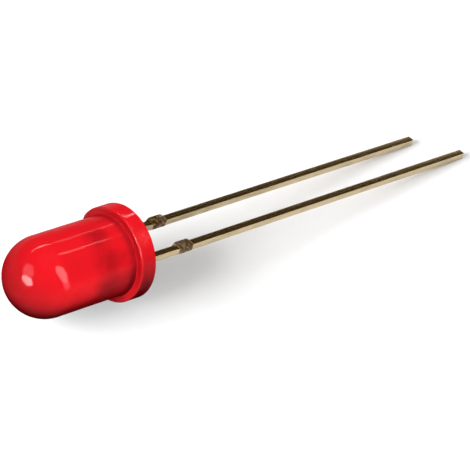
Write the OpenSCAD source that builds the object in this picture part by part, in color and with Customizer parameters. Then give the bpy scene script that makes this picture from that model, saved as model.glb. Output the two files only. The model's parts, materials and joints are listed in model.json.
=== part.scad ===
// Red diffused 5 mm through-hole LED, lying on a table.
// Millimetres, +Z up. The modules of the pieces draw the LED upright, with its
// seating plane at z = 0 and its dome up; lay() then puts it down as it comes to
// rest: on the rear rim of its flange and on the tips of both leads.

/* [Lens] */
// Diameter of the straight barrel and of the dome
body_d = 5.0; // [4.8:0.1:6]
// Length of the straight barrel above the flange
barrel_h = 5.0; // [4.2:0.1:7]
// How far the flange stands out from the barrel
flange_rim = 0.45; // [0.3:0.05:0.8]
// Thickness of the flange
flange_t = 1.1; // [0.8:0.05:1.8]
// Rounding of the flange's front edge
flange_edge_r = 0.1; // [0.04:0.02:0.2]
// Fillet between the flange and the barrel
root_r = 0.08; // [0.04:0.02:0.12]
// Depth of the polarity flat that is cut into the flange on the cathode's side
flat_depth = 0.2; // [0.1:0.02:0.28]
// Height of the resin that has crept down each lead below the seating plane
creep_h = 0.35; // [0.1:0.05:0.8]
// How far the crept resin reaches out from the lead's corner at the seating plane
creep_out = 0.22; // [0.1:0.02:0.35]

/* [Leads] */
// Distance between the centre lines of the two leads
pitch = 2.54; // [2.4:0.02:2.7]
// Width of a lead in the plane of both leads
lead_w = 0.45; // [0.4:0.01:0.5]
// Thickness of the metal sheet that the lead frame is stamped from
sheet_t = 0.45; // [0.3:0.01:0.55]
// Width of a lead between the lens and the tie-bar stub
neck_w = 0.4; // [0.32:0.01:0.44]
// Length of the cathode's lead below the seating plane
cathode_l = 27.0; // [12:0.5:35]
// How much longer the anode's lead is
anode_extra = 2.5; // [1:0.1:4]

/* [Tie-bar stubs] */
// Distance from the seating plane to the start of the stubs
stub_z = 3.0; // [1.5:0.1:5]
// Length of a stub along the lead
stub_len = 1.4; // [0.9:0.1:2]
// Length of the slope that leads up to the stub from the lens
stub_ramp = 0.45; // [0.1:0.05:0.6]
// Length of the step down from the stub toward the tip
stub_step = 0.08; // [0.02:0.02:0.2]
// How far the stub stands out from the lead on the cathode's side
stub_out_c = 0.19; // [0.04:0.01:0.4]
// How far the stub stands out from the lead on the anode's side
stub_out_a = 0.03; // [0.01:0.01:0.4]

/* [Reflector cup and post] */
// Height of the cup's rim above the seating plane
cup_z = 4.7; // [4.4:0.1:5.6]
// Outer diameter of the round head that holds the cup
head_d = 1.4; // [1.25:0.05:1.5]
// Height of the round head
head_h = 0.7; // [0.6:0.05:0.9]
// Diameter of the cup's mouth
cup_mouth_d = 1.1; // [0.95:0.05:1.15]
// Diameter of the cup's floor
cup_floor_d = 0.62; // [0.58:0.02:0.8]
// Depth of the cup
cup_depth = 0.4; // [0.3:0.02:0.45]
// Height at which the cathode's plate begins to widen
anvil_z = 1.5; // [1:0.1:1.8]
// Gap between the head and the bonding post
post_gap = 0.28; // [0.2:0.02:0.32]
// How far the top of the post lies below the cup's rim
post_drop = 0.12; // [0.05:0.01:0.25]
// Height at which the post begins to widen
post_z = 1.9; // [1.2:0.1:2.4]
// How far the post's shoulder stands out from the lead
post_flare = 0.3; // [0.1:0.02:0.4]
// Width of the landing for the wire at the top of the post
landing_w = 0.5; // [0.35:0.05:0.6]

/* [Chip] */
// Side of the square chip
die_w = 0.3; // [0.2:0.02:0.34]
// Height of the chip
die_h = 0.2; // [0.12:0.01:0.25]
// Thickness of the adhesive under the chip
attach_t = 0.03; // [0.02:0.005:0.06]
// How far the adhesive's foot reaches out past the chip's corner
attach_out = 0.04; // [0.02:0.005:0.045]
// Diameter of the bond pad on the chip
pad_d = 0.11; // [0.09:0.01:0.14]
// Thickness of the bond pad
pad_t = 0.01; // [0.006:0.002:0.02]

/* [Bond wire] */
// Diameter of the wire
wire_d = 0.03; // [0.025:0.001:0.04]
// Diameter of the flattened ball on the pad
ball_d = 0.08; // [0.06:0.005:0.085]
// Height of the flattened ball
ball_h = 0.025; // [0.015:0.005:0.04]
// Straight rise of the wire above the ball
wire_rise = 0.24; // [0.12:0.02:0.4]
// Radius of the loop that follows the rise
loop_r = 0.24; // [0.12:0.02:0.3]
// Diameter of the flattened stitch on the post
stitch_d = 0.1; // [0.07:0.01:0.14]
// Height of the stitch
stitch_h = 0.02; // [0.01:0.005:0.04]

/* [Hidden] */
$fn = 64;

body_r = body_d / 2;
flange_r = body_r + flange_rim;
dome_z = flange_t + barrel_h;
// The flat's plane, and half of its width
flat_x = flange_r - flat_depth;
flat_y = sqrt(flange_r * flange_r - flat_x * flat_x);
cathode_x = -pitch / 2;
anode_x = pitch / 2;
anode_l = cathode_l + anode_extra;
head_r = head_d / 2;
floor_z = cup_z - cup_depth;
// Half of the width that the stamped plate has where it carries the head
anvil_r = head_r - 0.08;
// The plate's top lies inside the head, below the cup's floor
anvil_top = cup_z - (cup_depth + head_h) / 2;
post_in = head_r + post_gap;
landing_z = cup_z - post_drop;
landing_x = post_in + landing_w / 2;
creep_r = sqrt(neck_w * neck_w + sheet_t * sheet_t) / 2;
die_z = floor_z + attach_t;
pad_z = die_z + die_h;
ball_z = pad_z + pad_t;
rise_z = ball_z + ball_h;
// The loop's circle is centred at (loop_r, loop_z); the wire leaves it on the
// tangent that ends at the landing
loop_z = rise_z + wire_rise;
span_x = landing_x - loop_r;
span_z = landing_z - loop_z;
loop_end = atan2(span_z, span_x) + acos(loop_r / norm([span_x, span_z]));
run_l = sqrt(span_x * span_x + span_z * span_z - loop_r * loop_r);

// Rest: the flange's rear rim and the lower corners of both tips lie in one plane.
// Its normal is along [lean * rest, 1, rest] in the upright LED's frame.
lean = anode_extra / pitch;
reach = cathode_l + lean * (pitch + lead_w) / 2;
rest_a = reach * reach - flange_r * flange_r * lean * lean;
rest_b = reach * sheet_t;
rest_c = sheet_t * sheet_t / 4 - flange_r * flange_r;
rest = (sqrt(rest_b * rest_b - 4 * rest_a * rest_c) - rest_b) / (2 * rest_a);
roll = atan2(lean * rest, 1);
tilt = atan2(rest, norm([lean * rest, 1]));
// Bounds of the LED as it lies, which put the origin under its middle
dome_end = -cos(tilt) * dome_z - body_r;
tip_out = sin(roll) * (pitch + lead_w) / 2 + cos(roll) * sheet_t / 2;
tip_end = sin(tilt) * tip_out + cos(tilt) * anode_l;
flat_end = cos(roll) * flat_x + sin(roll) * flat_y;
cathode_side = flange_r * cos(roll) > flat_x ? flat_end : flange_r;
mid_x = (dome_end + tip_end) / 2;
mid_y = (cathode_side - flange_r) / 2;
lift = flange_r * cos(tilt);

module lay() {
    translate([-mid_x, -mid_y, lift])
        rotate([0, tilt - 90, 0])
            rotate([0, 0, roll - 90])
                children();
}

// Stamps a profile, drawn in x and z, out of the sheet
module stamp(points) {
    rotate([90, 0, 0])
        linear_extrude(height = sheet_t, center = true)
            polygon(points);
}

// One edge of a lead from the seating plane to its tip: neck, slope, stub, step, shank
function lead_edge(x, side, out, l) = [
    [x + side * neck_w / 2, flange_t * 0.6],
    [x + side * neck_w / 2, -stub_z],
    [x + side * (lead_w / 2 + out), -stub_z - stub_ramp],
    [x + side * (lead_w / 2 + out), -stub_z - stub_len],
    [x + side * lead_w / 2, -stub_z - stub_len - stub_step],
    [x + side * lead_w / 2, -l]
];

function backward(points) = [for (i = [len(points) - 1 : -1 : 0]) points[i]];

module lens_profile() {
    intersection() {
        square([flange_r, dome_z + body_r]);
        union() {
            square([body_r, dome_z]);
            translate([0, dome_z])
                circle(r = body_r);
            square([flange_r, flange_t - flange_edge_r]);
            square([flange_r - flange_edge_r, flange_t]);
            translate([flange_r - flange_edge_r, flange_t - flange_edge_r])
                circle(r = flange_edge_r);
            difference() {
                square([body_r + root_r, flange_t + root_r]);
                translate([body_r + root_r, flange_t + root_r])
                    circle(r = root_r);
            }
        }
    }
}

// Resin that has crept down a lead, as a low cone
module creep(x) {
    translate([x, 0, -creep_h])
        cylinder(h = creep_h, r1 = creep_r + 0.03, r2 = creep_r + creep_out);
}

module lens_casting() {
    difference() {
        rotate_extrude()
            lens_profile();
        translate([-flat_x - flange_r, -flange_r, -1])
            cube([flange_r, 2 * flange_r, flange_t + 2]);
    }
    creep(cathode_x);
    creep(anode_x);
}

module cathode_metal() {
    inner = cathode_x + lead_w / 2;
    outer = cathode_x - lead_w / 2;
    plate = [
        [outer, flange_t * 0.6 + 0.15],
        [outer, anvil_z + 0.8],
        [-anvil_r, anvil_top - 0.35],
        [-anvil_r, anvil_top],
        [anvil_r, anvil_top],
        [anvil_r, anvil_top - 0.75],
        [inner, anvil_z],
        [inner, flange_t * 0.6 + 0.15]
    ];
    difference() {
        union() {
            stamp(concat(
                plate,
                lead_edge(cathode_x, 1, stub_out_a, cathode_l),
                backward(lead_edge(cathode_x, -1, stub_out_c, cathode_l))
            ));
            translate([0, 0, cup_z - head_h])
                cylinder(h = head_h, r = head_r);
        }
        translate([0, 0, floor_z])
            cylinder(h = cup_depth, r1 = cup_floor_d / 2, r2 = cup_mouth_d / 2);
    }
}

module anode_metal() {
    inner = anode_x - lead_w / 2;
    outer = anode_x + lead_w / 2;
    post = [
        [inner, flange_t * 0.6 + 0.15],
        [inner, post_z],
        [post_in, post_z + 0.3],
        [post_in, landing_z],
        [post_in + landing_w, landing_z],
        [outer + post_flare, landing_z - 0.8],
        [outer + post_flare, post_z + 0.5],
        [outer, post_z],
        [outer, flange_t * 0.6 + 0.15]
    ];
    stamp(concat(
        post,
        lead_edge(anode_x, 1, stub_out_a, anode_l),
        backward(lead_edge(anode_x, -1, stub_out_c, anode_l))
    ));
}

module chip() {
    translate([-die_w / 2, -die_w / 2, die_z])
        cube([die_w, die_w, die_h]);
    translate([0, 0, pad_z])
        cylinder(h = pad_t, r = pad_d / 2);
}

module adhesive() {
    corner = die_w / sqrt(2);
    translate([0, 0, floor_z])
        cylinder(h = attach_t, r1 = corner + attach_out, r2 = corner + attach_out / 4);
}

module wire() {
    translate([0, 0, ball_z])
        cylinder(h = ball_h, r = ball_d / 2);
    // The rise is drawn a little thin, and runs on into the loop
    translate([0, 0, rise_z])
        cylinder(h = wire_rise + wire_d / 3, r = wire_d * 0.45);
    difference() {
        translate([loop_r, 0, loop_z])
            rotate([90, 0, 0])
                rotate([0, 0, loop_end]) {
                    rotate_extrude(angle = 180 - loop_end)
                        translate([loop_r, 0])
                            circle(r = wire_d / 2);
                    translate([loop_r, 0, 0])
                        rotate([90, 0, 0])
                            cylinder(h = run_l + wire_d, r = wire_d / 2);
                }
        translate([landing_x - 0.5, -0.5, landing_z - 1])
            cube([1, 1, 1]);
    }
    translate([landing_x, 0, landing_z])
        cylinder(h = stitch_h, r = stitch_d / 2);
}

module lens() {
    color([0.93, 0.08, 0.1])
        lay()
            difference() {
                lens_casting();
                cathode_metal();
                anode_metal();
                chip();
                adhesive();
                wire();
            }
}

module cathode_lead() {
    color([0.76, 0.68, 0.52])
        lay()
            cathode_metal();
}

module anode_lead() {
    color([0.76, 0.68, 0.52])
        lay()
            anode_metal();
}

module led_die() {
    color([0.35, 0.32, 0.3])
        lay()
            chip();
}

module die_attach() {
    color([0.72, 0.72, 0.7])
        lay()
            adhesive();
}

module bond_wire() {
    color([0.9, 0.72, 0.3])
        lay()
            wire();
}

lens();
cathode_lead();
anode_lead();
led_die();
die_attach();
bond_wire();
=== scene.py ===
"""Looks of a red diffused through-hole LED that lies on a white table.

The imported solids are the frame. The lens and both leads are modelled again here with
rounded edges and worn faces, the chip and its wire keep their solids and get finishes,
and a plain studio with a camera stands around them.
"""

import json
from math import asin, cos, pi, radians, sin

import bmesh
import bpy
from bpy.props import FloatProperty, FloatVectorProperty, IntProperty, PointerProperty
from bpy.types import Operator, Panel, PropertyGroup
from mathutils import Matrix, Quaternion, Vector


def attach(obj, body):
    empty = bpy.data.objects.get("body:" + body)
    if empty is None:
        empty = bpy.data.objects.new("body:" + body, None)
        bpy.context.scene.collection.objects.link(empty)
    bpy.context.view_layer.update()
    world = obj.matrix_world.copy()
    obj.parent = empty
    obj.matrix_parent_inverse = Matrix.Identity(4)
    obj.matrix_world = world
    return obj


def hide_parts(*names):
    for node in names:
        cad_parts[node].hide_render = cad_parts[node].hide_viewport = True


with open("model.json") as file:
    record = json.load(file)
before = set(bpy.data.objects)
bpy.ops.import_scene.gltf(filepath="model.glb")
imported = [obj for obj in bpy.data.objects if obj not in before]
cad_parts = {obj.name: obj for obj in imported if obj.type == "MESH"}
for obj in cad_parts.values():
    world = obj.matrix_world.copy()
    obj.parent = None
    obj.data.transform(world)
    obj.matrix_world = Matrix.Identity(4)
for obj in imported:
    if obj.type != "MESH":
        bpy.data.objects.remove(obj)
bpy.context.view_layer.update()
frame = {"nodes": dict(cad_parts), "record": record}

bl_info = {
    "name": "Through-Hole LED",
    "version": (1, 0, 0),
    "blender": (4, 5, 0),
    "location": "View3D > Sidebar > LED",
    "description": "Casts the lens, stamps the leads and sets the studio of a through-hole LED",
    "category": "Object",
}

MM = 0.001
MOUNTS = {mount["name"]: mount for mount in frame["record"]["mounts"]}
SEAT = Vector(MOUNTS["seating_face"]["pos_m"])
TILT = asin(MOUNTS["barrel"]["axis"][2])
BARREL_DIAMETER = 2 * MOUNTS["barrel"]["dims"]["r_mm"] * MM
# The lamps face this point inside the lens, at a height above the seat
AIM_HEIGHT = 4.0 * MM
LENS_MIDDLE = SEAT + AIM_HEIGHT * Vector(MOUNTS["barrel"]["axis"])
# Points that are closer than this are one point
SAME_POINT = 0.0001 * MM
# Faces across each rounded edge
EDGE_SEGMENTS = 3


def length(name, description, default):
    """A size in metres that a user may change."""
    return FloatProperty(name=name, description=description, default=default, min=0.0,
                         unit="LENGTH", subtype="DISTANCE", precision=5)


def colour(name, description, default):
    """A linear colour that a user may change."""
    return FloatVectorProperty(name=name, description=description, default=default,
                               size=3, min=0.0, max=1.0, subtype="COLOR")


def share(name, description, default):
    """A share from nothing to all."""
    return FloatProperty(name=name, description=description, default=default,
                         min=0.0, max=1.0, subtype="FACTOR")


def lamp_level(name, description, default):
    """How bright a lamp's face is, where a white board in plain light is 1."""
    return FloatProperty(name=name, description=description, default=default, min=0.0)


def point(name, description, default):
    """A place in metres that a user may change."""
    return FloatVectorProperty(name=name, description=description, default=default,
                               size=3, unit="LENGTH", subtype="TRANSLATION", precision=5)


class LedLensSettings(PropertyGroup):
    """Sizes and colours of the cast lens."""

    barrel_diameter: length("Barrel diameter", "Diameter of the barrel and the dome",
                            BARREL_DIAMETER)
    barrel_length: length("Barrel length", "Straight length above the flange", 5.0 * MM)
    flange_rim: length("Flange rim", "How far the flange stands out from the barrel", 0.45 * MM)
    flange_thickness: length("Flange thickness", "Thickness of the flange", 1.1 * MM)
    flange_edge: length("Front edge", "Rounding of the flange's front edge", 0.1 * MM)
    root: length("Root", "Fillet between the flange and the barrel", 0.08 * MM)
    flat_depth: length("Flat depth", "Depth of the polarity flat", 0.2 * MM)
    rear_edge: length("Rear edge", "Rounding of the sharp edges of the casting", 0.02 * MM)
    creep_height: length("Creep height", "Height of the resin that crept down a lead", 0.34 * MM)
    creep_reach: length("Creep reach", "Radius of the crept resin at the seating plane", 0.52 * MM)
    creep_waist: length("Creep waist", "Radius of the crept resin at its thin end", 0.305 * MM)
    sides: IntProperty(name="Sides", description="Faces around the lens",
                       default=160, min=32, max=256)
    resin: colour("Resin", "Colour of the lit resin", (0.69, 0.0083, 0.0142))
    # Painted light: this lighter resin colour is laid on the barrel's side and on the flange's lower
    # front
    soaked: colour("Soaked", "Colour of the resin where light has soaked through it",
                   (1.0, 0.0115, 0.0195))
    # This darker colour is used for the lead frame behind the resin, and also as painted shade at
    # the barrel's root, on the flange and on the lower side
    frame_and_shade_tone: colour("Murk", "Colour of the resin where metal or shade lies behind it",
                 (0.27, 0.005, 0.009))
    # This colour is partly a worn, rougher mark and partly a painted sheen: a paler pink patch on
    # the flange
    scuff_and_sheen: colour("Scuff", "Colour of the resin where the flange is scuffed",
                  (0.78, 0.055, 0.06))


class LedLeadSettings(PropertyGroup):
    """Sizes and colours of the stamped leads."""

    pitch: length("Pitch", "Distance between the leads", 2.54 * MM)
    thickness: length("Thickness", "Side of a lead's square section", 0.45 * MM)
    roll: FloatProperty(name="Roll",
                        description="Turn of the plane of both leads about the lens's axis",
                        default=radians(5.407421), unit="ROTATION", subtype="ANGLE")
    edge: length("Edge", "Rounding that the stamping leaves on the edges", 0.03 * MM)
    stub_start: length("Stub start", "Distance from the seating plane to the tie-bar stub",
                       3.4 * MM)
    stub_end: length("Stub end", "Distance from the seating plane to the stub's end", 4.44 * MM)
    tear: length("Tear", "Depth of the tearing on the stub's cut faces", 0.012 * MM)
    plating: colour("Plating", "Colour of the plated metal", (0.60, 0.48, 0.29))
    rolled: colour("Rolled face", "Colour of the rolled faces of the strip", (0.50, 0.30, 0.07))
    tarnish: colour("Tarnish", "Colour of the tarnished metal", (0.075, 0.035, 0.007))
    torn: colour("Torn metal", "Colour of the bright flecks on the torn stubs",
                 (0.44, 0.26, 0.085))


class LedChipSettings(PropertyGroup):
    """Height of the sealed chip, and colours of the chip, its adhesive and its wire."""

    die_top: length("Die top", "Height of the chip's top above the seating plane", 4.53 * MM)
    crystal: colour("Crystal", "Colour of the chip", (0.11, 0.085, 0.075))
    grain: colour("Grain", "Colour of the pale grains in the chip", (0.20, 0.17, 0.15))
    pad: colour("Pad", "Colour of the bond pad and the wire", (0.83, 0.58, 0.20))
    drawn: colour("Drawn", "Colour of the drawn marks on the wire", (0.62, 0.38, 0.10))
    silver: colour("Silver", "Colour of the silver-filled adhesive", (0.52, 0.52, 0.50))
    filler: colour("Filler", "Colour of the adhesive between the flakes", (0.33, 0.33, 0.32))


class LedStageSettings(PropertyGroup):
    """The table, the studio lights and the camera."""

    table_size: length("Table size", "Side of the square table", 4.0)
    table_white: colour("Table", "Colour of the table", (0.86, 0.86, 0.86))
    table_lift: share("Table lift", "Share of plain white in the table as it is seen near the LED",
                      0.10)
    lift_start: length("Lift start", "Distance at which the table starts to turn plain white", 0.06)
    lift_end: length("Lift end", "Distance beyond which the table is plain white", 0.25)
    table_bounce: share("Table bounce", "Share of the light that the table throws back up", 0.02)
    key_light: lamp_level("Key", "Brightness of the light at the dome's end of the LED", 12.4)
    fill_light: lamp_level("Fill", "Brightness of the broad light beside the camera", 5.7)
    back_light: lamp_level("Back", "Brightness of the light behind the LED", 3.1)
    table_key: lamp_level("Table key", "Brightness of the light that casts the shadow", 16.2)
    table_top: lamp_level("Table top", "Brightness of the broad light above the table", 0.50)
    room: share("Room", "Brightness of the dark room", 0.07)
    cove: share("Cove", "Brightness of the white cove that rises behind the table", 1.0)
    panels: share("Panels", "Brightness of the white boards that the metal mirrors", 0.45)
    camera_place: point("Camera", "Where the camera stands", (-0.094024, -0.068329, 0.106149))
    camera_aim: point("Aim", "The point that the camera looks at",
                      (-0.0046985, -0.0031757, 0.0047799))
    camera_roll: FloatProperty(name="Camera roll",
                               description="Turn of the picture about the line of sight",
                               default=radians(20.2523), unit="ROTATION", subtype="ANGLE")
    camera_lens: FloatProperty(name="Focal length",
                               description="Focal length for a sensor 36 mm wide",
                               default=191.489, unit="CAMERA")


def settings():
    """The four groups of settings on the scene."""
    scene = bpy.context.scene
    return scene.led_lens, scene.led_leads, scene.led_chip, scene.led_stage


def resting_place():
    """The turn and the lift that lay an upright LED, dome up on its seat, down on the table."""
    roll = bpy.context.scene.led_leads.roll
    return (Matrix.Translation(SEAT)
            @ Matrix.Rotation(TILT - pi / 2, 4, "Y")
            @ Matrix.Rotation(roll - pi / 2, 4, "Z"))


# Modelling


def clear_selection():
    """Object mode with nothing selected."""
    if bpy.context.object and bpy.context.object.mode != "OBJECT":
        bpy.ops.object.mode_set(mode="OBJECT")
    bpy.ops.object.select_all(action="DESELECT")


def take(piece):
    """Makes one piece the only selected and active one."""
    clear_selection()
    piece.select_set(True)
    bpy.context.view_layer.objects.active = piece


def add_disc(name, sides, radius, place):
    """A filled disc, left in edit mode with its face selected."""
    clear_selection()
    bpy.ops.mesh.primitive_circle_add(vertices=sides, radius=radius, fill_type="NGON",
                                      location=place)
    disc = bpy.context.object
    disc.name = disc.data.name = name
    bpy.ops.object.transform_apply(location=True, rotation=True, scale=True)
    bpy.ops.object.mode_set(mode="EDIT")
    bpy.ops.mesh.select_all(action="SELECT")
    return disc


def draw_out(rings, radius, place):
    """Draws the selected disc, which is at place, out along Z through rings of (radius, height)."""
    x, y, height = place
    for ring_radius, ring_height in rings:
        rise = (0.0, 0.0, ring_height - height)
        bpy.ops.mesh.extrude_region_move(TRANSFORM_OT_translate={"value": rise})
        grow = ring_radius / radius
        bpy.ops.transform.resize(value=(grow, grow, 1.0), center_override=(x, y, ring_height))
        radius, height = ring_radius, ring_height


def quarter_turn(steps):
    """Angles from nothing to a quarter turn, both ends included."""
    return [pi / 2 * step / steps for step in range(steps + 1)]


def select_edges(piece, test):
    """In edit mode, selects only the edges that pass the test."""
    bpy.ops.mesh.select_mode(type="EDGE")
    bpy.ops.mesh.select_all(action="DESELECT")
    mesh = bmesh.from_edit_mesh(piece.data)
    for edge in mesh.edges:
        edge.select_set(test(edge))
    mesh.select_flush_mode()
    bmesh.update_edit_mesh(piece.data)


def select_faces(piece, test):
    """In edit mode, selects only the faces that pass the test, and says how many there are."""
    bpy.ops.mesh.select_mode(type="FACE")
    bpy.ops.mesh.select_all(action="DESELECT")
    mesh = bmesh.from_edit_mesh(piece.data)
    found = 0
    for face in mesh.faces:
        picked = test(face)
        face.select_set(picked)
        found += picked
    mesh.select_flush_mode()
    bmesh.update_edit_mesh(piece.data)
    return found


def is_sharp(edge, angle):
    """Whether the two faces at an edge meet at more than the angle."""
    return len(edge.link_faces) == 2 and edge.calc_face_angle(0.0) > angle


def lay_down(piece):
    """Lays an upright piece on the table and leaves its object unturned at the origin."""
    take(piece)
    piece.matrix_world = resting_place()
    bpy.ops.object.transform_apply(location=True, rotation=True, scale=True)


def mount(piece, finish, slot, *nodes):
    """Gives a piece its finish and its place in the frame."""
    piece.data.materials.clear()
    piece.data.materials.append(finish)
    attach(piece, "root")
    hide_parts(*nodes)


# Finishes


class Value:
    """A shader socket; arithmetic on it adds Math nodes."""

    def __init__(self, finish, socket):
        self.finish = finish
        self.socket = socket

    def math(self, operation, first, second):
        """One Math node."""
        return self.finish.node("ShaderNodeMath", {"operation": operation}, {0: first, 1: second})

    def __add__(self, other):
        return self.math("ADD", self, other)

    def __sub__(self, other):
        return self.math("SUBTRACT", self, other)

    def __mul__(self, other):
        return self.math("MULTIPLY", self, other)

    def __rsub__(self, other):
        return self.math("SUBTRACT", other, self)

    def __abs__(self):
        return self.math("ABSOLUTE", self, 0.0)

    __radd__ = __add__
    __rmul__ = __mul__


class Finish:
    """A material, or a world, that is being put together from nodes."""

    def __init__(self, owner):
        owner.use_nodes = True
        self.owner = owner
        self.tree = owner.node_tree
        self.tree.nodes.clear()

    def node(self, kind, options, sockets, output=0):
        """Adds a node: its options first, then the values or links of its sockets."""
        node = self.tree.nodes.new(kind)
        for key, value in options.items():
            setattr(node, key, value)
        for key, value in sockets.items():
            if isinstance(value, Value):
                self.tree.links.new(value.socket, node.inputs[key])
            else:
                node.inputs[key].default_value = value
        return Value(self, node.outputs[output]) if node.outputs else None

    def coordinates(self, kind):
        """Texture coordinates of one kind."""
        return self.node("ShaderNodeTexCoord", {}, {}, kind)

    def upright(self):
        """Place on the piece in millimetres, in the frame of the LED as it stands upright."""
        rest = resting_place()
        return self.node("ShaderNodeMapping", {"vector_type": "TEXTURE"},
                         {"Vector": self.coordinates("Object"), "Location": rest.to_translation(),
                          "Rotation": rest.to_euler(), "Scale": (MM, MM, MM)})

    def vector(self, operation, *parts, output="Vector"):
        """Arithmetic on places."""
        return self.node("ShaderNodeVectorMath", {"operation": operation},
                         dict(enumerate(parts)), output)

    def stretch(self, place, scale):
        """A place with its axes scaled, so that a pattern on it runs finer or longer."""
        return self.vector("MULTIPLY", place, scale)

    def reach(self, place):
        """Distance of a place from the origin."""
        return self.vector("LENGTH", place, output="Value")

    def split(self, place):
        """The three coordinates of a place."""
        x = self.node("ShaderNodeSeparateXYZ", {}, {"Vector": place}, "X")
        parts = x.socket.node.outputs
        return x, Value(self, parts["Y"]), Value(self, parts["Z"])

    def fold(self, place):
        """A place with the negative half of the Y axis folded onto the positive one."""
        x, y, z = self.split(place)
        return self.node("ShaderNodeCombineXYZ", {}, {"X": x, "Y": abs(y), "Z": z})

    def noise(self, place, scale, detail=2.0, rough=0.5, output="Fac"):
        """Cloudy noise, with its scale per unit of the place."""
        return self.node("ShaderNodeTexNoise", {"noise_dimensions": "3D"},
                         {"Vector": place, "Scale": scale, "Detail": detail, "Roughness": rough},
                         output)

    def ramp(self, value, start, end):
        """Runs smoothly from 0 to 1 while the value goes from start to end."""
        return self.node("ShaderNodeMapRange", {"interpolation_type": "SMOOTHSTEP"},
                         {"Value": value, "From Min": start, "From Max": end}, "Result")

    def band(self, value, start, full, fade, end):
        """Rises from 0 to 1 between start and full, and falls back between fade and end."""
        return self.ramp(value, start, full) * self.ramp(value, end, fade)

    def spot(self, place, centre, reach):
        """A soft spot: 1 at its centre and 0 beyond its reach along each axis."""
        shrink = tuple(1.0 / part for part in reach)
        middle = tuple(part * scale for part, scale in zip(centre, shrink))
        away = self.vector("DISTANCE", self.stretch(place, shrink), middle, output="Value")
        return self.ramp(away, 1.0, 0.1)

    def blend(self, factor, first, second):
        """One colour over another."""
        def four(tone):
            return tone if isinstance(tone, Value) else (*tone, 1.0)
        return self.node("ShaderNodeMix", {"data_type": "RGBA"},
                         {0: factor, 6: four(first), 7: four(second)}, 2)

    def bump(self, height, strength, distance):
        """A normal that follows a height."""
        return self.node("ShaderNodeBump", {},
                         {"Height": height, "Strength": strength, "Distance": distance})

    def ray(self, kind):
        """1 for rays of one kind."""
        return self.node("ShaderNodeLightPath", {}, {}, kind)

    def seen(self):
        """1 for rays by which the eye sees: straight, in a mirror or through glass."""
        return (self.ray("Is Camera Ray") + self.ray("Is Glossy Ray")
                + self.ray("Is Transmission Ray"))

    def surface(self, sockets):
        """Closes a material with a Principled shader."""
        shader = self.node("ShaderNodeBsdfPrincipled", {}, sockets)
        self.node("ShaderNodeOutputMaterial", {}, {"Surface": shader})
        return self.owner


def new_finish(name):
    """A new material with no nodes yet."""
    return Finish(bpy.data.materials.new(name))


def resin_frame_and_shade(finish, lens, place):
    """How much darker the resin is: the lead frame behind it, its diffuser, and painted shade in the
    barrel's root, on the flange and on the lower side of the lens.
    """
    top = lens.flange_thickness / MM
    _, y, z = finish.split(place)
    drift = finish.noise(place, 1.6, 2.0, output="Color")
    blurred = finish.vector("ADD", drift, finish.fold(place))
    far_x, far_y, far_z = finish.split(blurred)
    # Darker patches on the barrel, laid over the lead frame inside the resin: its cup, its posts and
    # three patches
    cup = finish.band(far_z, 2.7, 3.7, 3.9, 5.1) * finish.ramp(far_x, -0.2, 0.9)
    post = finish.ramp(far_z, 5.1, 4.1) * finish.ramp(far_y, 1.9, 0.6)
    # Painted shade in the corner where the barrel meets the flange
    root = finish.ramp(z, top + 0.7, top + 0.2)
    patches = (finish.spot(blurred, (2.42, 2.10, 3.1), (0.85, 0.85, 1.5))
               + finish.spot(blurred, (0.93, 2.96, 3.5), (0.65, 0.65, 1.4))
               + 0.7 * finish.spot(blurred, (-0.30, 2.87, 2.4), (0.90, 0.80, 0.9)))
    # The frame patches together with the root's painted shade, on the barrel and kept off its lower
    # side, which gets its own painted shade
    barrel = finish.ramp(z, top + 0.01, top + 0.07) * finish.ramp(y, -1.7, -0.2)
    metal = barrel * (0.30 * cup + 0.40 * post + 0.62 * root + 0.36 * patches)
    # Painted shade on the flange, darkest where it faces sideways
    heel_shade = finish.ramp(z, top - 0.04, top - 0.12) * finish.ramp(abs(y), 2.1, 0.4)
    # Painted shade: darker towards the lower side of the lens, reaching higher on the flange and
    # growing towards the dome
    wall = finish.ramp(z, top - 0.08, top - 0.16)
    underside_shade = finish.ramp(y - 0.8 * wall, -0.25, -1.6) * (wall + finish.ramp(z, 1.5, 6.0))
    cloud = finish.noise(place, 1.3, 3.0)
    diffuser = finish.noise(place, 26.0, 2.0)
    return (metal + 0.6 * heel_shade) * (0.65 + 0.7 * cloud) + 0.10 * diffuser + 0.85 * underside_shade


def painted_resin_light(finish, lens, place):
    """Painted light: a lighter band along the side of the barrel and on the flange's lower front
    face.
    """
    top = lens.flange_thickness / MM
    x, y, z = finish.split(place)
    # Painted light: a band along the barrel's side, and the lower part of the flange's front face
    # made lighter
    side = finish.band(y, -0.8, 0.1, 0.5, 1.9) * finish.ramp(x, -0.6, 0.8)
    front = finish.band(z, top - 0.07, top - 0.02, top + 0.01, top + 0.03)
    return (0.85 * side * finish.band(z, 1.3, 4.2, 5.8, 8.0)
            + 0.9 * front * finish.ramp(y, 0.8, -1.0))


def resin_gloss(finish, lens, place, smudge):
    """How much the clear skin shines: most on the flange's edge, least in the root and at a slant.

    The upper far side keeps its shine at a slant, as a pale rim.
    """
    top = lens.flange_thickness / MM
    rim = (lens.barrel_diameter / 2 + lens.flange_rim) / MM
    x, y, z = finish.split(place)
    outward = finish.reach(finish.stretch(place, (1.0, 1.0, 0.0)))
    edge = finish.ramp(outward, rim - 0.17, rim - 0.11) * finish.ramp(z, top - 0.18, top - 0.12)
    root = finish.band(z, top, top + 0.02, top + 0.09, top + 0.16)
    pale_rim = finish.ramp(y, 0.6, 1.8) * finish.ramp(x, -0.4, -1.4)
    slant = finish.node("ShaderNodeLayerWeight", {}, {"Blend": 0.5}, "Facing")
    gloss = 0.13 + 0.10 * edge - 0.03 * smudge - 0.10 * root
    return gloss * (pale_rim + (1.0 - pale_rim) * finish.ramp(slant, 0.75, 0.30))


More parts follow.
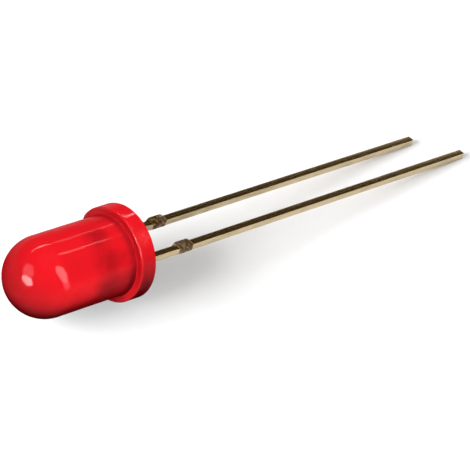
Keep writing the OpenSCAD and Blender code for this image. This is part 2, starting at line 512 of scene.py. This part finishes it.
def diffused_resin(lens):
    """Glossy red resin, clouded by its diffuser and darker where the lead frame lies behind it;
    painted shade, painted light and a painted sheen on the flange are laid into its colour.
    """
    finish = new_finish("diffused_red_resin")
    place = finish.upright()
    grit = finish.noise(place, 9.0, 3.0, 0.6)
    skin = finish.noise(place, 3.0, 2.0)
    handled = finish.noise(finish.stretch(place, (1.0, 1.0, 0.5)), 1.7, 4.0, 0.6)
    smudge = finish.ramp(handled, 0.4, 0.75)
    # A paler, rougher patch on the flange: partly a worn mark, partly a painted sheen
    rubbed_and_sheen = finish.spot(finish.fold(place), (1.70, 2.41, 0.5), (0.9, 0.6, 0.8))
    scuff_and_sheen = 0.7 * rubbed_and_sheen * finish.ramp(grit, 0.25, 0.75)
    # Painted light over the resin's own colour, then the lead frame and painted shade over that
    lit = finish.blend(painted_resin_light(finish, lens, place), lens.resin, lens.soaked)
    tone = finish.blend(resin_frame_and_shade(finish, lens, place), lit, lens.frame_and_shade_tone)
    return finish.surface({
        "Base Color": finish.blend(scuff_and_sheen, tone, lens.scuff_and_sheen),
        "Roughness": 0.045 + 0.06 * smudge + 0.3 * scuff_and_sheen,
        "IOR": 1.53,
        "Specular IOR Level": 0.0,
        "Coat Weight": resin_gloss(finish, lens, place, smudge),
        "Coat Roughness": 0.05,
        "Coat IOR": 1.5,
        "Subsurface Weight": 0.08,
        "Subsurface Radius": (1.0, 0.12, 0.10),
        "Subsurface Scale": 0.7 * MM,
        "Normal": finish.bump(skin, 0.06, 0.01 * MM),
    })


def stamped_plating(leads):
    """Plated strip: browned rolled faces, pale sheared sides, drawn streaks and torn stubs."""
    finish = new_finish("stamped_plating")
    place = finish.upright()
    _, y, z = finish.split(place)
    half = leads.thickness / 2 / MM
    start, end = -leads.stub_start / MM, -leads.stub_end / MM
    streak = finish.noise(finish.stretch(place, (9.0, 9.0, 0.35)), 2.0, 4.0, 0.6)
    stain = finish.noise(finish.stretch(place, (1.0, 1.0, 0.4)), 1.3, 4.0, 0.6)
    pits = finish.noise(place, 5.5, 4.0, 0.65)
    rolled = finish.ramp(abs(y), half - 0.035, half - 0.01)
    torn = finish.band(z, end - 0.06, end + 0.02, start - 0.02, start + 0.14)
    clean = finish.blend(0.82 * rolled + 0.18 * streak, leads.plating, leads.rolled)
    aged = finish.blend(0.3 * finish.ramp(stain, 0.45, 0.75), clean, leads.tarnish)
    gash = finish.blend(finish.ramp(pits, 0.50, 0.59), leads.tarnish, leads.torn)
    return finish.surface({
        "Base Color": finish.blend(torn, aged, gash),
        "Metallic": 1.0 - 0.45 * torn,
        "Roughness": 0.16 + 0.12 * streak + 0.08 * stain + 0.18 * torn,
        "Normal": finish.bump(0.25 * streak + 2.0 * torn * pits, 0.4, 0.02 * MM),
    })


def chip_crystal(chip):
    """Dark sawn crystal with a gold pad on its top."""
    finish = new_finish("chip_crystal")
    place = finish.upright()
    _, _, z = finish.split(place)
    die_top = chip.die_top / MM
    saw = finish.noise(finish.stretch(place, (4.0, 4.0, 90.0)), 2.0, 3.0)
    grain = finish.noise(place, 40.0, 3.0)
    gold = finish.ramp(z, die_top + 0.0005, die_top + 0.002)
    return finish.surface({
        "Base Color": finish.blend(gold, finish.blend(grain, chip.crystal, chip.grain), chip.pad),
        "Metallic": 0.3 + 0.7 * gold,
        "Roughness": 0.28 + 0.2 * saw,
        "Normal": finish.bump(saw, 0.2, 0.002 * MM),
    })


def silver_adhesive(chip):
    """Matt grey adhesive full of silver flakes."""
    finish = new_finish("silver_adhesive")
    place = finish.upright()
    flakes = finish.node("ShaderNodeTexVoronoi", {"feature": "F1"},
                         {"Vector": place, "Scale": 60.0}, "Distance")
    lumps = finish.noise(place, 18.0, 3.0)
    return finish.surface({
        "Base Color": finish.blend(lumps, chip.silver, chip.filler),
        "Metallic": 0.55 + 0.4 * flakes,
        "Roughness": 0.35 + 0.3 * lumps,
        "Normal": finish.bump(flakes, 0.5, 0.004 * MM),
    })


def gold_wire(chip):
    """Fine drawn gold wire."""
    finish = new_finish("gold_wire")
    place = finish.upright()
    draw = finish.noise(finish.stretch(place, (6.0, 60.0, 6.0)), 2.0, 2.0)
    return finish.surface({
        "Base Color": finish.blend(0.5 * draw, chip.pad, chip.drawn),
        "Metallic": 1.0,
        "Roughness": 0.14 + 0.14 * draw,
        "Normal": finish.bump(draw, 0.1, 0.001 * MM),
    })


def white_table(stage):
    """Matt white table; a share of plain white brightens it for the eye and in the metal."""
    finish = new_finish("white_table")
    place = finish.coordinates("Object")
    paper = finish.noise(place, 900.0, 2.0)
    away = finish.ramp(finish.reach(place), stage.lift_start, stage.lift_end)
    lift = finish.seen() * (stage.table_lift + (1.0 - stage.table_lift) * away)
    plain, fibre, bounce = (tuple(part * tone for tone in stage.table_white)
                            for part in (1.0, 0.97, stage.table_bounce))
    top = finish.blend(finish.ray("Is Diffuse Ray"), finish.blend(paper, plain, fibre), bounce)
    matt = finish.node("ShaderNodeBsdfPrincipled", {},
                       {"Base Color": top, "Roughness": 1.0, "Specular IOR Level": 0.0})
    glow = finish.node("ShaderNodeEmission", {},
                       {"Color": (1.0, 1.0, 1.0, 1.0), "Strength": 1.0})
    mixed = finish.node("ShaderNodeMixShader", {}, {0: lift, 1: matt, 2: glow})
    finish.node("ShaderNodeOutputMaterial", {}, {"Surface": mixed})
    return finish.owner


# Operators


class LED_OT_cast_lens(Operator):
    """Cast the lens: flange, barrel, dome, polarity flat and the resin that crept down the leads"""

    bl_idname = "led.cast_lens"
    bl_label = "Cast Lens"
    bl_options = {"REGISTER", "UNDO"}

    def execute(self, context):
        lens, leads, _, _ = settings()
        seat = (0.0, 0.0, 0.0)
        sharp_from, smooth_below = radians(50), radians(32)
        rim = lens.barrel_diameter / 2 + lens.flange_rim
        casting = add_disc("lens_casting", lens.sides, rim, seat)
        draw_out(self.outline(lens), rim, seat)
        bpy.ops.mesh.merge(type="CENTER")
        bpy.ops.mesh.select_all(action="SELECT")
        bpy.ops.mesh.normals_make_consistent(inside=False)
        bpy.ops.mesh.bisect(plane_co=(lens.flat_depth - rim, 0.0, 0.0), plane_no=(-1.0, 0.0, 0.0),
                            use_fill=True, clear_outer=True, threshold=SAME_POINT)
        select_edges(casting, lambda edge: is_sharp(edge, sharp_from))
        bpy.ops.mesh.bevel(offset=lens.rear_edge, segments=EDGE_SEGMENTS, affect="EDGES")
        bpy.ops.object.mode_set(mode="OBJECT")
        for side in (-0.5, 0.5):
            self.creep(casting, lens, side * leads.pitch)
        take(casting)
        bpy.ops.object.shade_smooth_by_angle(angle=smooth_below)
        lay_down(casting)
        mount(casting, diffused_resin(lens), "lens_epoxy", "lens")
        casting.visible_diffuse = False
        return {"FINISHED"}

    @staticmethod
    def outline(lens):
        """Rings of (radius, height) from the flange's side up to the last ring below the pole.

        Holding rings close to the ends of a straight stretch keep its shading even.
        """
        body = lens.barrel_diameter / 2
        rim = body + lens.flange_rim
        top, edge, root = lens.flange_thickness, lens.flange_edge, lens.root
        straight = lens.barrel_length - root
        dome = top + lens.barrel_length
        hold = 0.05 * MM
        small_turns = quarter_turn(8)
        rings = [(rim, hold), (rim, top - edge - hold)]
        rings += [(rim - edge + edge * cos(turn), top - edge + edge * sin(turn))
                  for turn in small_turns]
        rings += [(body + root - root * sin(turn), top + root - root * cos(turn))
                  for turn in small_turns]
        rings += [(body, top + root + part)
                  for part in (hold, straight / 2, straight - hold, straight)]
        rings += [(body * cos(turn), dome + body * sin(turn)) for turn in quarter_turn(48)[1:-1]]
        return rings

    @staticmethod
    def creep(casting, lens, x):
        """Joins one skirt of crept resin to the back of the casting."""
        sides = 48
        sunk = 0.1 * MM
        start = (x, 0.0, sunk)
        skirt = add_disc("creep_skirt", sides, lens.creep_reach, start)
        waist, depth = lens.creep_waist, lens.creep_height
        spread = lens.creep_reach - waist
        rings = [(lens.creep_reach, 0.0)]
        rings += [(waist + spread * (1 - sin(turn)), -depth * (1 - cos(turn)))
                  for turn in quarter_turn(10)[1:]]
        draw_out(rings, lens.creep_reach, start)
        bpy.ops.mesh.select_all(action="SELECT")
        bpy.ops.mesh.normals_make_consistent(inside=False)
        take(casting)
        join = casting.modifiers.new("creep", "BOOLEAN")
        join.operation, join.solver, join.object = "UNION", "EXACT", skirt
        bpy.ops.object.modifier_apply(modifier=join.name)
        bpy.data.objects.remove(skirt)


class LED_OT_stamp_leads(Operator):
    """Stamp both leads: rounded edges and torn tie-bar stubs"""

    bl_idname = "led.stamp_leads"
    bl_label = "Stamp Leads"
    bl_options = {"REGISTER", "UNDO"}

    def execute(self, context):
        _, leads, _, _ = settings()
        finish = stamped_plating(leads)
        for seed, node in enumerate(("cathode_lead", "anode_lead"), start=3):
            strip = self.strip(leads, node, seed)
            mount(strip, finish, "lead_metal", node)
        return {"FINISHED"}

    @staticmethod
    def strip(leads, node, seed):
        """Finishes one lead on a copy of its solid; the head inside the lens stays as it is."""
        flat_within, sharp_from, smooth_below = radians(0.5), radians(20), radians(28)
        head_start = 0.8 * MM
        slack = 0.05 * MM
        cuts = 6
        smallest_face = (0.1 * MM) ** 2
        low, high = -leads.stub_end - slack, -leads.stub_start + slack
        upright = resting_place().inverted()

        def height(vertex):
            return (upright @ vertex.co).z

        def stamped(edge):
            return (is_sharp(edge, sharp_from)
                    and all(height(vertex) < head_start for vertex in edge.verts))

        def on_stub(face):
            return (all(low < height(vertex) < high for vertex in face.verts)
                    and face.calc_area() > smallest_face)

        name = node.replace("lead", "strip")
        strip = bpy.data.objects.new(name, frame["nodes"][node].data.copy())
        bpy.context.scene.collection.objects.link(strip)
        take(strip)
        bpy.ops.object.mode_set(mode="EDIT")
        bpy.ops.mesh.select_all(action="SELECT")
        bpy.ops.mesh.remove_doubles(threshold=SAME_POINT)
        bpy.ops.mesh.dissolve_limited(angle_limit=flat_within)
        select_edges(strip, stamped)
        bpy.ops.mesh.bevel(offset=leads.edge, segments=EDGE_SEGMENTS, affect="EDGES")
        if not select_faces(strip, on_stub):
            raise RuntimeError("no tie-bar stub was found on " + node)
        bpy.ops.mesh.subdivide(number_cuts=cuts)
        bpy.ops.transform.vertex_random(offset=leads.tear, seed=seed)
        bpy.ops.object.mode_set(mode="OBJECT")
        bpy.ops.object.shade_smooth_by_angle(angle=smooth_below)
        return strip


class LED_OT_finish_chip(Operator):
    """Give the sealed chip, its adhesive and its wire their finishes"""

    bl_idname = "led.finish_chip"
    bl_label = "Finish Chip"
    bl_options = {"REGISTER", "UNDO"}

    def execute(self, context):
        _, _, chip, _ = settings()
        finishes = {"led_die": chip_crystal, "die_attach": silver_adhesive, "bond_wire": gold_wire}
        for node, finish in finishes.items():
            mesh = frame["nodes"][node].data
            mesh.materials.clear()
            mesh.materials.append(finish(chip))
        return {"FINISHED"}


class LED_OT_set_stage(Operator):
    """Set the white table, the studio lights and the camera"""

    bl_idname = "led.set_stage"
    bl_label = "Set Stage"
    bl_options = {"REGISTER", "UNDO"}

    def execute(self, context):
        _, _, _, stage = settings()
        self.table(stage)
        self.lights(stage)
        self.room(stage)
        self.camera(stage)
        context.scene.view_settings.view_transform = "Standard"
        return {"FINISHED"}

    @staticmethod
    def table(stage):
        """The table that the LED lies on."""
        clear_selection()
        bpy.ops.mesh.primitive_plane_add(size=stage.table_size)
        table = bpy.context.object
        table.name = "table"
        table.data.materials.append(white_table(stage))

    @staticmethod
    def panel(name, azimuth, elevation, distance, along, size, brightness, shape="RECTANGLE"):
        """A flat lamp that faces the lens, with its first side along a direction.

        Its energy makes the lamp's face look as bright as asked, whatever its size and shape.
        """
        lamp = bpy.data.lights.new(name, "AREA")
        lamp.shape = shape
        lamp.size, lamp.size_y = size
        fill = pi if shape == "ELLIPSE" else 4.0
        lamp.energy = brightness * fill * size[0] * size[1]
        panel = bpy.data.objects.new(name, lamp)
        bpy.context.scene.collection.objects.link(panel)
        turn, lift = radians(azimuth), radians(elevation)
        back = Vector((cos(lift) * cos(turn), cos(lift) * sin(turn), sin(lift)))
        side = (Vector(along) - back * back.dot(Vector(along))).normalized()
        facing = Matrix((side, back.cross(side), back)).transposed()
        panel.matrix_world = Matrix.Translation(LENS_MIDDLE + distance * back) @ facing.to_4x4()
        panel.visible_camera = False
        return panel

    @staticmethod
    def flag(name, *pieces):
        """The only pieces that a flagged lamp reaches."""
        reached = bpy.data.collections.new(name)
        for piece in pieces:
            reached.objects.link(bpy.data.objects[piece])
        return reached

    def lights(self, stage):
        """Soft lamps for the LED, others for the table, and small lamps that only glint in the lens.

        A lamp is given as name, azimuth, elevation, distance, side, size, brightness and shape.
        """
        across, up = (0.0, 1.0, 0.0), (0.0, 0.0, 1.0)
        along_barrel, along_rim = (-0.066, 0.717, -0.693), (-0.066, 0.742, -0.667)
        along_shoulder, along_streak = (-0.966, 0.259, 0.0), (-0.799, 0.066, 0.598)
        along_sheen = (0.532, 0.737, 0.408)
        led = self.flag("lit_led", "lens_casting", "cathode_strip", "anode_strip")
        table = self.flag("lit_table", "table")
        glossy = self.flag("glossy_resin", "lens_casting")
        for pieces, lamp in (
            (led, ("key", 198, 43, 0.60, across, (0.25, 0.25), stage.key_light)),
            (led, ("fill", -75, 60, 0.70, across, (0.40, 0.40), stage.fill_light)),
            (led, ("back", 72, 21, 0.70, up, (0.30, 0.50), stage.back_light)),
            (table, ("table_key", 172, 22, 0.65, across, (0.42, 0.42), stage.table_key)),
            (table, ("table_top", -90, 89.5, 0.90, across, (3.6, 3.6), stage.table_top)),
        ):
            soft = self.panel(*lamp)
            soft.visible_glossy = False
            soft.light_linking.receiver_collection = pieces
        for lamp in (
            ("barrel_glint", 41.2, 28.5, 0.35, along_barrel, (0.025, 0.016), 6.0),
            ("shoulder_glint", 77, 43.0, 0.35, along_shoulder, (0.26, 0.025), 24.0),
            ("flange_glint", 37.3, 30.8, 0.35, along_rim, (0.024, 0.0035), 34.0),
            ("second_glint", 9.3, 52.0, 0.30, along_streak, (0.066, 0.02), 11.0),
            ("dome_glint", 181, 10.5, 0.30, up, (0.11, 0.17), 55.0, "ELLIPSE"),
            ("dome_sheen", 166, 29.0, 0.30, along_sheen, (0.22, 0.16), 8.5, "ELLIPSE"),
            ("side_glint", -70, 43, 0.30, up, (0.27, 0.13), 19.0, "ELLIPSE"),
            ("side_tail", -69, 13, 0.30, up, (0.14, 0.10), 7.0, "ELLIPSE"),
        ):
            glint = self.panel(*lamp)
            glint.visible_diffuse = False
            glint.light_linking.receiver_collection = glossy

    @staticmethod
    def room(stage):
        """A dark room that shows white boards and a white cove only where it is seen."""
        world = bpy.context.scene.world or bpy.data.worlds.new("room")
        bpy.context.scene.world = world
        room = Finish(world)
        x, _, height = room.split(room.coordinates("Generated"))
        front = room.ramp(x, -0.35, -0.85) * room.ramp(height, 0.75, 0.45)
        boards = stage.panels * (front + room.ramp(height, 0.80, 0.95))
        seen = room.seen()
        dim = room.blend(seen * boards, (stage.room,) * 3, (1.0,) * 3)
        tone = room.blend(seen * room.ramp(height, 0.16, 0.0), dim, (stage.cove,) * 3)
        light = room.node("ShaderNodeBackground", {}, {"Color": tone, "Strength": 1.0})
        room.node("ShaderNodeOutputWorld", {}, {"Surface": light})

    @staticmethod
    def camera(stage):
        """The camera, turned about its line of sight."""
        data = bpy.data.cameras.new("camera")
        data.sensor_fit, data.sensor_width, data.lens = "HORIZONTAL", 36.0, stage.camera_lens
        data.clip_start, data.clip_end = 0.01, 20.0
        camera = bpy.data.objects.new("camera", data)
        bpy.context.scene.collection.objects.link(camera)
        sight = (Vector(stage.camera_aim) - Vector(stage.camera_place)).normalized()
        level = sight.to_track_quat("-Z", "Y")
        camera.rotation_mode = "QUATERNION"
        camera.rotation_quaternion = Quaternion(-sight, stage.camera_roll) @ level
        camera.location = stage.camera_place
        bpy.context.scene.camera = camera


class LED_PT_sidebar(Panel):
    """The LED's pieces and settings"""

    bl_idname = "LED_PT_sidebar"
    bl_label = "LED"
    bl_space_type = "VIEW_3D"
    bl_region_type = "UI"
    bl_category = "LED"

    def draw(self, context):
        for group, operator in zip(settings(), OPERATORS):
            box = self.layout.box()
            for name in group.__annotations__:
                box.prop(group, name)
            box.operator(operator.bl_idname)


OPERATORS = (LED_OT_cast_lens, LED_OT_stamp_leads, LED_OT_finish_chip, LED_OT_set_stage)
GROUPS = {"led_lens": LedLensSettings, "led_leads": LedLeadSettings,
          "led_chip": LedChipSettings, "led_stage": LedStageSettings}


def register():
    """Adds the classes, and the settings to every scene."""
    for cls in (*GROUPS.values(), *OPERATORS, LED_PT_sidebar):
        bpy.utils.register_class(cls)
    for name, group in GROUPS.items():
        setattr(bpy.types.Scene, name, PointerProperty(type=group))


def unregister():
    """Takes the settings and the classes away again."""
    for name in GROUPS:
        delattr(bpy.types.Scene, name)
    for cls in (LED_PT_sidebar, *reversed(OPERATORS), *reversed(GROUPS.values())):
        bpy.utils.unregister_class(cls)


def main():
    """Builds the dressed LED on its stage."""
    register()
    bpy.ops.led.cast_lens()
    bpy.ops.led.stamp_leads()
    bpy.ops.led.finish_chip()
    bpy.ops.led.set_stage()


if __name__ == "__main__":
    main()
